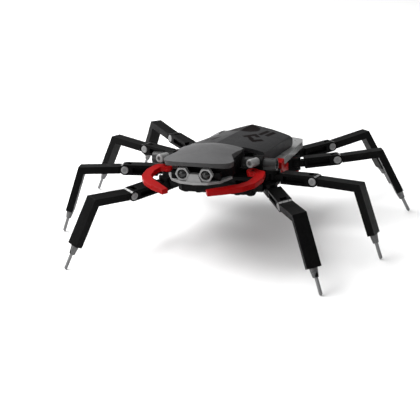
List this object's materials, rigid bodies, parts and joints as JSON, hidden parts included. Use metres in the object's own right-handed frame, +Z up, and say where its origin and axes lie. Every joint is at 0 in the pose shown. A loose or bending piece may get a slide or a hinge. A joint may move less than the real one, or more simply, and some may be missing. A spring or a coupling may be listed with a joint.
{
  "type": "eight-legged spider robot figure",
  "caption": "Posable spider robot figure: low armoured body on hinged bent-bar legs with thin rod feet, swinging curved jaws, pivoting forward barrels and a rear lid that lifts.",
  "frame": {"origin": "centre of the bounding box in plan, on the floor the feet stand on", "axes": "+Z up, the robot faces -Y, +X is its left side"},
  "size_m": [0.2146, 0.1668, 0.0624],
  "materials": {
    "black_plastic": "satin moulded",
    "dark_grey_plastic": "satin moulded",
    "light_grey_plastic": "satin moulded",
    "red_plastic": "gloss moulded",
    "canopy_plastic": "satin with dark printed patches",
    "eye_plastic": "polished",
    "rod_plastic": "satin moulded"
  },
  "bodies": {
    "core": {"chassis": "black_plastic", "belly_plate": "black_plastic", "head_block": "black_plastic", "front_shell": "dark_grey_plastic", "rear_plate": "light_grey_plastic", "canopy_hinge_pin": "light_grey_plastic", "visor": "black_plastic", "eye_bezels": "light_grey_plastic", "eye_domes": "eye_plastic", "chin_plate": "light_grey_plastic", "cross_tube": "dark_grey_plastic", "jaw_pins": "red_plastic", "side_blocks": "red_plastic", "hip_pins": "red_plastic"},
    "lid": {"canopy": "canopy_plastic"},
    "left_gun": {"left_gun_collar": "black_plastic", "left_gun_barrel": "light_grey_plastic"},
    "left_mandible": {"left_jaw": "red_plastic"},
    "left_front_thigh": {"left_front_upper_link": "black_plastic", "left_front_knee_pin": "light_grey_plastic"},
    "left_front_lower_leg": {"left_front_shin": "black_plastic", "left_front_foot_rod": "rod_plastic"},
    "left_second_thigh": {"left_second_upper_link": "black_plastic", "left_second_knee_pin": "light_grey_plastic"},
    "left_second_lower_leg": {"left_second_shin": "black_plastic", "left_second_foot_rod": "rod_plastic"},
    "left_third_thigh": {"left_third_upper_link": "black_plastic", "left_third_knee_pin": "light_grey_plastic"},
    "left_third_lower_leg": {"left_third_shin": "black_plastic", "left_third_foot_rod": "rod_plastic"},
    "left_rear_thigh": {"left_rear_upper_link": "black_plastic", "left_rear_knee_pin": "light_grey_plastic"},
    "left_rear_lower_leg": {"left_rear_shin": "black_plastic", "left_rear_foot_rod": "rod_plastic"},
    "right_gun": {"right_gun_collar": "black_plastic", "right_gun_barrel": "light_grey_plastic"},
    "right_mandible": {"right_jaw": "red_plastic"},
    "right_front_thigh": {"right_front_upper_link": "black_plastic", "right_front_knee_pin": "light_grey_plastic"},
    "right_front_lower_leg": {"right_front_shin": "black_plastic", "right_front_foot_rod": "rod_plastic"},
    "right_second_thigh": {"right_second_upper_link": "black_plastic", "right_second_knee_pin": "light_grey_plastic"},
    "right_second_lower_leg": {"right_second_shin": "black_plastic", "right_second_foot_rod": "rod_plastic"},
    "right_third_thigh": {"right_third_upper_link": "black_plastic", "right_third_knee_pin": "light_grey_plastic"},
    "right_third_lower_leg": {"right_third_shin": "black_plastic", "right_third_foot_rod": "rod_plastic"},
    "right_rear_thigh": {"right_rear_upper_link": "black_plastic", "right_rear_knee_pin": "light_grey_plastic"},
    "right_rear_lower_leg": {"right_rear_shin": "black_plastic", "right_rear_foot_rod": "rod_plastic"}
  },
  "joints": [
    {"name": "canopy_lift", "type": "hinge", "parent": "core", "child": "lid", "pos_m": [0.0074, 0.02806, 0.0456], "axis": [-0.9848, 0.1736, 0], "range_deg": [0, 28]},
    {"name": "left_gun_pitch", "type": "hinge", "parent": "core", "child": "left_gun", "pos_m": [0.027, -0.02509, 0.0492], "axis": [-1, 0, 0], "range_deg": [0, 35]},
    {"name": "left_jaw_swing", "type": "hinge", "parent": "core", "child": "left_mandible", "pos_m": [0.0255, -0.03409, 0.04705], "axis": [0, 0, 1], "range_deg": [-3, 24]},
    {"name": "left_front_hip_swing", "type": "hinge", "parent": "core", "child": "left_front_thigh", "pos_m": [0.03321, -0.02138, 0.03243], "axis": [-0.1084, -0.0629, 0.9921], "range_deg": [-10, 10]},
    {"name": "left_front_knee_bend", "type": "hinge", "parent": "left_front_thigh", "child": "left_front_lower_leg", "pos_m": [0.0462, -0.04389, 0.03288], "axis": [-0.8583, -0.4976, -0.1253], "range_deg": [-30, 40]},
    {"name": "left_second_hip_swing", "type": "hinge", "parent": "core", "child": "left_second_thigh", "pos_m": [0.03304, -0.01457, 0.03803], "axis": [0.0219, 0.0897, 0.9957], "range_deg": [-10, 10]},
    {"name": "left_second_knee_bend", "type": "hinge", "parent": "left_second_thigh", "child": "left_second_lower_leg", "pos_m": [0.0583, -0.02059, 0.03939], "axis": [-0.2358, -0.9674, 0.0924], "range_deg": [-30, 40]},
    {"name": "left_third_hip_swing", "type": "hinge", "parent": "core", "child": "left_third_thigh", "pos_m": [0.03794, 0.0191, 0.03429], "axis": [-0.0341, 0.1061, 0.9938], "range_deg": [-10, 10]},
    {"name": "left_third_knee_bend", "type": "hinge", "parent": "left_third_thigh", "child": "left_third_lower_leg", "pos_m": [0.0626, 0.02721, 0.03587], "axis": [0.3038, -0.9462, 0.1115], "range_deg": [-30, 40]},
    {"name": "left_rear_hip_swing", "type": "hinge", "parent": "core", "child": "left_rear_thigh", "pos_m": [0.03378, 0.03739, 0.03327], "axis": [-0.0538, 0.0618, 0.9966], "range_deg": [-10, 10]},
    {"name": "left_rear_knee_bend", "type": "hinge", "parent": "left_rear_thigh", "child": "left_rear_lower_leg", "pos_m": [0.0533, 0.05451, 0.03463], "axis": [0.6539, -0.7522, 0.0819], "range_deg": [-30, 40]},
    {"name": "right_gun_pitch", "type": "hinge", "parent": "core", "child": "right_gun", "pos_m": [-0.027, -0.02509, 0.0492], "axis": [-1, 0, 0], "range_deg": [0, 35]},
    {"name": "right_jaw_swing", "type": "hinge", "parent": "core", "child": "right_mandible", "pos_m": [-0.0255, -0.03409, 0.04705], "axis": [0, 0, -1], "range_deg": [-11, 16]},
    {"name": "right_front_hip_swing", "type": "hinge", "parent": "core", "child": "right_front_thigh", "pos_m": [-0.03321, -0.02138, 0.03243], "axis": [0.1084, -0.0629, 0.9921], "range_deg": [-10, 10]},
    {"name": "right_front_knee_bend", "type": "hinge", "parent": "right_front_thigh", "child": "right_front_lower_leg", "pos_m": [-0.0462, -0.04389, 0.03288], "axis": [-0.8583, 0.4976, 0.1253], "range_deg": [-30, 40]},
    {"name": "right_second_hip_swing", "type": "hinge", "parent": "core", "child": "right_second_thigh", "pos_m": [-0.03304, -0.01457, 0.03803], "axis": [-0.0219, 0.0897, 0.9957], "range_deg": [-10, 10]},
    {"name": "right_second_knee_bend", "type": "hinge", "parent": "right_second_thigh", "child": "right_second_lower_leg", "pos_m": [-0.0583, -0.02059, 0.03939], "axis": [-0.2358, 0.9674, -0.0924], "range_deg": [-30, 40]},
    {"name": "right_third_hip_swing", "type": "hinge", "parent": "core", "child": "right_third_thigh", "pos_m": [-0.03794, 0.0191, 0.03429], "axis": [0.0341, 0.1061, 0.9938], "range_deg": [-10, 10]},
    {"name": "right_third_knee_bend", "type": "hinge", "parent": "right_third_thigh", "child": "right_third_lower_leg", "pos_m": [-0.0626, 0.02721, 0.03587], "axis": [0.3038, 0.9462, -0.1115], "range_deg": [-30, 40]},
    {"name": "right_rear_hip_swing", "type": "hinge", "parent": "core", "child": "right_rear_thigh", "pos_m": [-0.03378, 0.03739, 0.03327], "axis": [0.0538, 0.0618, 0.9966], "range_deg": [-10, 10]},
    {"name": "right_rear_knee_bend", "type": "hinge", "parent": "right_rear_thigh", "child": "right_rear_lower_leg", "pos_m": [-0.0533, 0.05451, 0.03463], "axis": [0.6539, 0.7522, -0.0819], "range_deg": [-30, 40]}
  ]
}
